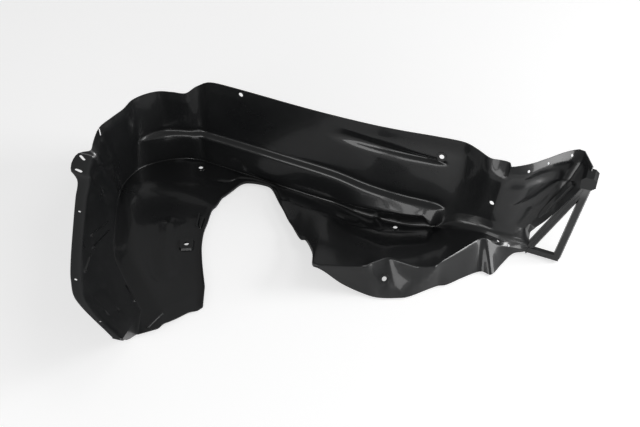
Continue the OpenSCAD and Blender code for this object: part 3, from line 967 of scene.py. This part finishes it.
@dataclass(frozen=True)
class MouldedPolypropylene:
    """Black polypropylene, injection moulded on a polished tool.

    A satin body under a thin glossy skin, so that flat walls read as soft dark
    grey and folds catch a crisp line of light. The wall is faintly uneven where
    it cooled, with slightly duller patches from handling.
    """
    name: str = "moulded_black_polypropylene"
    colour: str = "#1b1c1d"
    # Polypropylene's own value
    ior: float = 1.50
    roughness: Span = (0.27, 0.37)
    # Part of the noise's range over which the roughness changes
    patch_range: Span = (0.35, 0.65)
    skin_weight: float = 0.8
    skin_roughness: float = 0.08
    # Sizes of the patches, waves and grain; the tool's real grain is too fine to show at
    # this distance, so it is drawn about five times as coarse
    patch_mm: float = 90.0
    wave_mm: float = 55.0
    wave_height_mm: float = 0.5
    grain_mm: float = 1.2
    grain_height_mm: float = 0.012

    def build(self) -> bpy.types.Material:
        """Build the node material.

        Returns:
            The material, with its pattern sizes worked out from mm.
        """
        material = bpy.data.materials.new(self.name)
        material.use_nodes = True
        tree = material.node_tree
        tree.nodes.clear()
        place = add_node(tree, "ShaderNodeTexCoord").outputs["Object"]
        patches = add_node(tree, "ShaderNodeTexNoise", {"Scale": 1/(self.patch_mm*MM), "Detail": 3.0},
                           {"Vector": place})
        rough = add_node(tree, "ShaderNodeMapRange",
                         {"From Min": self.patch_range[0], "From Max": self.patch_range[1],
                          "To Min": self.roughness[0], "To Max": self.roughness[1]},
                         {"Value": patches.outputs["Fac"]})
        wave = add_node(tree, "ShaderNodeTexNoise", {"Scale": 1/(self.wave_mm*MM), "Detail": 0.0},
                        {"Vector": place})
        grain = add_node(tree, "ShaderNodeTexNoise", {"Scale": 1/(self.grain_mm*MM), "Detail": 1.0},
                         {"Vector": place})
        uneven = add_node(tree, "ShaderNodeBump", {"Distance": self.wave_height_mm*MM},
                          {"Height": wave.outputs["Fac"]})
        fine = add_node(tree, "ShaderNodeBump", {"Distance": self.grain_height_mm*MM},
                        {"Height": grain.outputs["Fac"], "Normal": uneven.outputs["Normal"]})
        shader = add_node(tree, "ShaderNodeBsdfPrincipled",
                          {"Base Color": linear(self.colour), "IOR": self.ior,
                           "Coat Weight": self.skin_weight, "Coat Roughness": self.skin_roughness},
                          {"Roughness": rough.outputs["Result"], "Normal": fine.outputs["Normal"],
                           "Coat Normal": uneven.outputs["Normal"]})
        add_node(tree, "ShaderNodeOutputMaterial", {}, {"Surface": shader.outputs["BSDF"]})
        return material


@dataclass
class Shield:
    """The whole splash shield, ready to stand in for the CAD node."""
    node: str = "splash_shield"
    crease_angle: float = 38.0

    def build(self) -> bpy.types.Object:
        """Build, place and dress the shield.

        Returns:
            The one visible piece, which rides on the root body.
        """
        sheet = Moulding()
        body = sheet.build()
        LOG.info("sheet: %d faces", len(body.data.polygons))
        fixings = FixingPoints(sheet)
        added = fixings.pads() + StiffeningRibs(sheet).solids() + DuctFrame().solids()
        combine(body, added, Cut.ADD)
        combine(body, fixings.cutters(), Cut.REMOVE)
        LOG.info("with pads, ribs, duct frame and holes: %d faces", len(body.data.polygons))
        self.place(body)
        self.smooth(body)
        body.data.materials.clear()
        body.data.materials.append(MouldedPolypropylene().build())
        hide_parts(self.node)
        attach(body, "root")
        return body

    def place(self, body: bpy.types.Object) -> None:
        """Bring the body from mm in the source frame to metres, inside the CAD's box.

        The finer rows swing about 1 mm past the CAD's chords, so points are held to its box.

        Args:
            body: The whole shield, in mm.
        """
        coords = np.empty(3*len(body.data.vertices))
        body.data.vertices.foreach_get("co", coords)
        low, high = (np.array(list(corner)) for corner in CAD_BOX)
        points = np.clip((coords.reshape(-1, 3) - SOURCE_ORIGIN)*MM, low, high)
        body.data.vertices.foreach_set("co", points.ravel())
        body.data.update()
        LOG.info("box %s to %s", points.min(axis=0).round(4), points.max(axis=0).round(4))

    def smooth(self, body: bpy.types.Object) -> None:
        """Shade a body smooth, with creases where faces meet at a clear angle."""
        body.data.shade_smooth()
        body.data.set_sharp_from_angle(angle=math.radians(self.crease_angle))


@dataclass(frozen=True)
class SoftLamp:
    """A square lamp: its name, place and size in metres, and power in watts."""
    name: str
    place: tuple[float, float, float]
    size: float
    watts: float


@dataclass
class Studio:
    """Pale floor, soft lamps and the camera at the photograph's angle."""
    lamps: tuple[SoftLamp, ...] = (
        SoftLamp("right_lamp", (2.5, 0.1, 1.3), 1.0, 36.0),
        SoftLamp("right_low_lamp", (2.4, -1.0, 0.5), 1.2, 18.0),
        SoftLamp("right_high_lamp", (1.4, -0.2, 2.6), 1.2, 8.0),
        SoftLamp("left_lamp", (-1.5, -1.7, 1.0), 1.0, 9.0),
        SoftLamp("front_low_lamp", (-0.5, -2.4, 0.7), 1.2, 10.0))
    aim: tuple[float, float, float] = (0.0, 0.0, 0.1)
    floor_colour: str = "#cccccc"
    floor_half_size: float = 12.0
    # Added for camera rays alone, so that the floor looks near white and lights nothing
    floor_glow: float = 0.62
    # Strength of the world for every ray but the camera's, which sees it white
    world_light: float = 0.18
    elevation: float = 45.0
    distance: float = 2.2
    lens: float = 58.16
    sensor: float = 36.0

    def build_floor(self) -> bpy.types.Object:
        """Build the floor that the shield lies on.

        Returns:
            The floor, which is attached to no body.
        """
        e = self.floor_half_size
        corners = [(-e, -e, 0), (e, -e, 0), (e, e, 0), (-e, e, 0)]
        floor = mesh_object("floor", corners, [(0, 1, 2, 3)])
        material = bpy.data.materials.new("studio_floor")
        material.use_nodes = True
        tree = material.node_tree
        tree.nodes.clear()
        rays = add_node(tree, "ShaderNodeLightPath")
        strength = add_node(tree, "ShaderNodeMapRange", {"To Max": self.floor_glow},
                            {"Value": rays.outputs["Is Camera Ray"]})
        paint = add_node(tree, "ShaderNodeBsdfDiffuse", {"Color": linear(self.floor_colour)})
        glow = add_node(tree, "ShaderNodeEmission", {"Color": (1, 1, 1, 1)},
                        {"Strength": strength.outputs["Result"]})
        both = add_node(tree, "ShaderNodeAddShader")
        tree.links.new(paint.outputs[0], both.inputs[0])
        tree.links.new(glow.outputs[0], both.inputs[1])
        add_node(tree, "ShaderNodeOutputMaterial", {}, {"Surface": both.outputs[0]})
        floor.data.materials.append(material)
        return floor

    def build_world(self) -> None:
        """Set a dim world that looks white to the camera."""
        world = bpy.data.worlds.new("studio_world")
        bpy.context.scene.world = world
        world.use_nodes = True
        tree = world.node_tree
        tree.nodes.clear()
        rays = add_node(tree, "ShaderNodeLightPath")
        strength = add_node(tree, "ShaderNodeMapRange", {"To Min": self.world_light, "To Max": 1.0},
                            {"Value": rays.outputs["Is Camera Ray"]})
        back = add_node(tree, "ShaderNodeBackground", {"Color": (1, 1, 1, 1)},
                        {"Strength": strength.outputs["Result"]})
        add_node(tree, "ShaderNodeOutputWorld", {}, {"Surface": back.outputs[0]})

    def add_lamp(self, lamp: SoftLamp) -> None:
        """Add a soft square lamp that faces the shield.

        Args:
            lamp: Its name, place, size and power.
        """
        data = bpy.data.lights.new(lamp.name, "AREA")
        data.size = lamp.size
        data.energy = lamp.watts
        obj = bpy.data.objects.new(lamp.name, data)
        obj.location = lamp.place
        towards = Vector(self.aim) - Vector(lamp.place)
        obj.rotation_euler = towards.to_track_quat("-Z", "Y").to_euler()
        bpy.context.scene.collection.objects.link(obj)

    def build_camera(self) -> None:
        """Place the camera in front of the shield, above the floor."""
        data = bpy.data.cameras.new("camera")
        data.lens = self.lens
        data.sensor_width = self.sensor
        camera = bpy.data.objects.new("camera", data)
        target = Vector((-SOURCE_ORIGIN*MM).tolist())
        rise = math.radians(self.elevation)
        camera.location = target + self.distance*Vector((0, -math.cos(rise), math.sin(rise)))
        camera.rotation_euler = (target - camera.location).to_track_quat("-Z", "Y").to_euler()
        bpy.context.scene.collection.objects.link(camera)
        bpy.context.scene.camera = camera

    def build(self) -> None:
        """Build the whole studio."""
        bpy.context.scene.view_settings.view_transform = "Standard"
        self.build_camera()
        self.build_floor()
        self.build_world()
        for lamp in self.lamps:
            self.add_lamp(lamp)


def main() -> None:
    """Build the shield and its studio."""
    logging.basicConfig(level=logging.INFO, format="%(name)s: %(message)s")
    Studio().build()
    shield = Shield().build()
    LOG.info("%s: %d faces", shield.name, len(shield.data.polygons))


if __name__ == "__main__":
    main()
